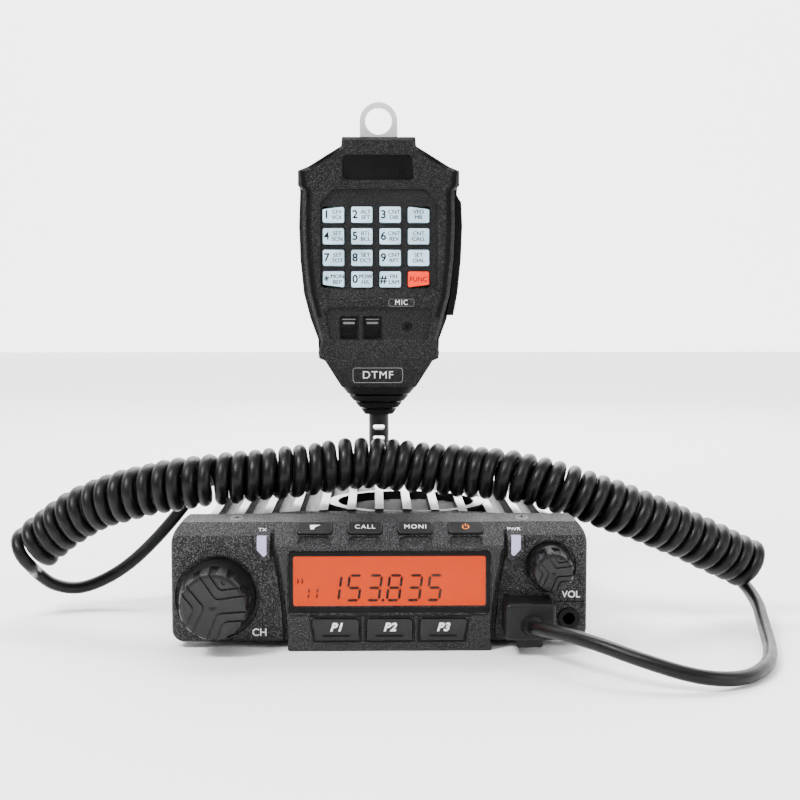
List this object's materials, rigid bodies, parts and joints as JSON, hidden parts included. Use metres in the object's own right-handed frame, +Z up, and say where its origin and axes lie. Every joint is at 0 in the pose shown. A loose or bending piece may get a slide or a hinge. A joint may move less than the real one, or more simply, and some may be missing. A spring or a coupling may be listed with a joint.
{
  "type": "mobile transceiver",
  "caption": "Dash-mount mobile radio with finned die-cast top, orange display, two knobs and push buttons, with a keypad hand microphone on a curly cord.",
  "frame": {"origin": "centre of the transceiver's flat base, on the surface it stands on", "axes": "+X to the viewer's right, +Y from the front panel to the rear connectors, +Z up"},
  "size_m": [0.2939, 0.2348, 0.1966],
  "materials": {
    "cast_aluminium": "die-cast, black finned top with bare ridge tops",
    "cover_steel": "black powder coat",
    "panel_plastic": "spark-textured",
    "window_clear": "clear lens",
    "lcd_orange": "backlit orange",
    "led_lens": "milky lavender",
    "screw_steel": "blackened",
    "knob_plastic": "satin black",
    "button_rubber": "black rubber",
    "board_green": "solder mask",
    "control_metal": "plated",
    "speaker_black": "pressed basket",
    "grille_cloth": "woven",
    "connector_black": "moulded",
    "connector_clear": "translucent",
    "nickel": "nickel plate",
    "cord_rubber": "smooth",
    "boot_rubber": "moulded",
    "mic_plastic": "spark-textured",
    "mic_grip": "satin",
    "key_blue": "pale blue",
    "key_orange": "orange",
    "tab_clear": "milky"
  },
  "bodies": {
    "transceiver": {"antenna_socket": "nickel", "bottom_cover": "cover_steel", "case_screws": "screw_steel", "channel_encoder": "control_metal", "chassis": "cast_aluminium", "cord_coil": "cord_rubber", "cord_lead_mic": "cord_rubber", "cord_lead_plug": "cord_rubber", "display_window": "window_clear", "fan_frame": "connector_black", "front_bezel": "panel_plastic", "front_circuit_board": "board_green", "headphone_jack": "connector_black", "lcd_module": "lcd_orange", "main_circuit_board": "board_green", "mic_socket": "connector_black", "plug_boot": "boot_rubber", "plug_connector": "connector_clear", "power_inlet": "boot_rubber", "rear_speaker_jack": "control_metal", "speaker": "speaker_black", "speaker_cloth": "grille_cloth", "status_led_lenses": "led_lens", "volume_control": "control_metal"},
    "microphone": {"mic_front_case": "mic_plastic", "mic_back_case": "mic_plastic", "mic_screws": "screw_steel", "mic_strain_relief": "boot_rubber", "mic_hang_tab": "tab_clear", "mic_circuit_board": "board_green", "mic_capsule": "speaker_black"},
    "key_1": {"key_1": "key_blue"},
    "key_2": {"key_2": "key_blue"},
    "key_3": {"key_3": "key_blue"},
    "key_vfo": {"key_vfo": "key_blue"},
    "key_4": {"key_4": "key_blue"},
    "key_5": {"key_5": "key_blue"},
    "key_6": {"key_6": "key_blue"},
    "key_call": {"key_call": "key_blue"},
    "key_7": {"key_7": "key_blue"},
    "key_8": {"key_8": "key_blue"},
    "key_9": {"key_9": "key_blue"},
    "key_dial": {"key_dial": "key_blue"},
    "key_star": {"key_star": "key_blue"},
    "key_0": {"key_0": "key_blue"},
    "key_hash": {"key_hash": "key_blue"},
    "key_func": {"key_func": "key_orange"},
    "scan_button": {"scan_button": "button_rubber"},
    "call_button": {"call_button": "button_rubber"},
    "monitor_button": {"monitor_button": "button_rubber"},
    "power_button": {"power_button": "button_rubber"},
    "p1_button": {"p1_button": "button_rubber"},
    "p2_button": {"p2_button": "button_rubber"},
    "p3_button": {"p3_button": "button_rubber"},
    "channel_knob": {"channel_knob": "knob_plastic"},
    "volume_knob": {"volume_knob": "knob_plastic"},
    "fan_rotor": {"fan_rotor": "connector_black"},
    "ptt_bar": {"ptt_bar": "mic_grip"},
    "lock_switch": {"lock_switch": "mic_grip"},
    "dtmf_switch": {"dtmf_switch": "mic_grip"}
  },
  "joints": [
    {"name": "microphone_lift", "type": "slide", "parent": "transceiver", "child": "microphone", "axis": [0, 0, 1], "range_m": [0, 0.04]},
    {"name": "channel_turn", "type": "hinge", "parent": "transceiver", "child": "channel_knob", "pos_m": [-0.056, -0.08, 0.0182], "axis": [0, 1, 0], "continuous": true},
    {"name": "volume_turn", "type": "hinge", "parent": "transceiver", "child": "volume_knob", "pos_m": [0.059, -0.08, 0.0286], "axis": [0, 1, 0], "range_deg": [-140, 140]},
    {"name": "fan_spin", "type": "hinge", "parent": "transceiver", "child": "fan_rotor", "pos_m": [0, 0.073, 0.0186], "axis": [0, 1, 0], "continuous": true},
    {"name": "scan_button_press", "type": "slide", "parent": "transceiver", "child": "scan_button", "axis": [0, 0.5684, -0.8227], "range_m": [0, 0.0006], "stiffness_N_per_m": 1200, "springref_m": -0.0003},
    {"name": "call_button_press", "type": "slide", "parent": "transceiver", "child": "call_button", "axis": [0, 0.5684, -0.8227], "range_m": [0, 0.0006], "stiffness_N_per_m": 1200, "springref_m": -0.0003},
    {"name": "monitor_button_press", "type": "slide", "parent": "transceiver", "child": "monitor_button", "axis": [0, 0.5684, -0.8227], "range_m": [0, 0.0006], "stiffness_N_per_m": 1200, "springref_m": -0.0003},
    {"name": "power_button_press", "type": "slide", "parent": "transceiver", "child": "power_button", "axis": [0, 0.5684, -0.8227], "range_m": [0, 0.0006], "stiffness_N_per_m": 1200, "springref_m": -0.0003},
    {"name": "p1_button_press", "type": "slide", "parent": "transceiver", "child": "p1_button", "axis": [0, 1, 0], "range_m": [0, 0.0008], "stiffness_N_per_m": 1200, "springref_m": -0.0003},
    {"name": "p2_button_press", "type": "slide", "parent": "transceiver", "child": "p2_button", "axis": [0, 1, 0], "range_m": [0, 0.0008], "stiffness_N_per_m": 1200, "springref_m": -0.0003},
    {"name": "p3_button_press", "type": "slide", "parent": "transceiver", "child": "p3_button", "axis": [0, 1, 0], "range_m": [0, 0.0008], "stiffness_N_per_m": 1200, "springref_m": -0.0003},
    {"name": "key_1_press", "type": "slide", "parent": "microphone", "child": "key_1", "axis": [0, 1, 0], "range_m": [0, 0.0006], "stiffness_N_per_m": 1200, "springref_m": -0.0003},
    {"name": "key_2_press", "type": "slide", "parent": "microphone", "child": "key_2", "axis": [0, 1, 0], "range_m": [0, 0.0006], "stiffness_N_per_m": 1200, "springref_m": -0.0003},
    {"name": "key_3_press", "type": "slide", "parent": "microphone", "child": "key_3", "axis": [0, 1, 0], "range_m": [0, 0.0006], "stiffness_N_per_m": 1200, "springref_m": -0.0003},
    {"name": "key_vfo_press", "type": "slide", "parent": "microphone", "child": "key_vfo", "axis": [0, 1, 0], "range_m": [0, 0.0006], "stiffness_N_per_m": 1200, "springref_m": -0.0003},
    {"name": "key_4_press", "type": "slide", "parent": "microphone", "child": "key_4", "axis": [0, 1, 0], "range_m": [0, 0.0006], "stiffness_N_per_m": 1200, "springref_m": -0.0003},
    {"name": "key_5_press", "type": "slide", "parent": "microphone", "child": "key_5", "axis": [0, 1, 0], "range_m": [0, 0.0006], "stiffness_N_per_m": 1200, "springref_m": -0.0003},
    {"name": "key_6_press", "type": "slide", "parent": "microphone", "child": "key_6", "axis": [0, 1, 0], "range_m": [0, 0.0006], "stiffness_N_per_m": 1200, "springref_m": -0.0003},
    {"name": "key_call_press", "type": "slide", "parent": "microphone", "child": "key_call", "axis": [0, 1, 0], "range_m": [0, 0.0006], "stiffness_N_per_m": 1200, "springref_m": -0.0003},
    {"name": "key_7_press", "type": "slide", "parent": "microphone", "child": "key_7", "axis": [0, 1, 0], "range_m": [0, 0.0006], "stiffness_N_per_m": 1200, "springref_m": -0.0003},
    {"name": "key_8_press", "type": "slide", "parent": "microphone", "child": "key_8", "axis": [0, 1, 0], "range_m": [0, 0.0006], "stiffness_N_per_m": 1200, "springref_m": -0.0003},
    {"name": "key_9_press", "type": "slide", "parent": "microphone", "child": "key_9", "axis": [0, 1, 0], "range_m": [0, 0.0006], "stiffness_N_per_m": 1200, "springref_m": -0.0003},
    {"name": "key_dial_press", "type": "slide", "parent": "microphone", "child": "key_dial", "axis": [0, 1, 0], "range_m": [0, 0.0006], "stiffness_N_per_m": 1200, "springref_m": -0.0003},
    {"name": "key_star_press", "type": "slide", "parent": "microphone", "child": "key_star", "axis": [0, 1, 0], "range_m": [0, 0.0006], "stiffness_N_per_m": 1200, "springref_m": -0.0003},
    {"name": "key_0_press", "type": "slide", "parent": "microphone", "child": "key_0", "axis": [0, 1, 0], "range_m": [0, 0.0006], "stiffness_N_per_m": 1200, "springref_m": -0.0003},
    {"name": "key_hash_press", "type": "slide", "parent": "microphone", "child": "key_hash", "axis": [0, 1, 0], "range_m": [0, 0.0006], "stiffness_N_per_m": 1200, "springref_m": -0.0003},
    {"name": "key_func_press", "type": "slide", "parent": "microphone", "child": "key_func", "axis": [0, 1, 0], "range_m": [0, 0.0006], "stiffness_N_per_m": 1200, "springref_m": -0.0003},
    {"name": "ptt_squeeze", "type": "hinge", "parent": "microphone", "child": "ptt_bar", "pos_m": [0.027, -0.0065, 0.114], "axis": [0, -1, 0], "range_deg": [0, 1.6], "stiffness_Nm_per_rad": 0.6, "springref_deg": -2.86},
    {"name": "lock_switch_slide", "type": "slide", "parent": "microphone", "child": "lock_switch", "axis": [0, 0, -1], "range_m": [0, 0.0036]},
    {"name": "dtmf_switch_slide", "type": "slide", "parent": "microphone", "child": "dtmf_switch", "axis": [0, 0, -1], "range_m": [0, 0.0036]}
  ]
}
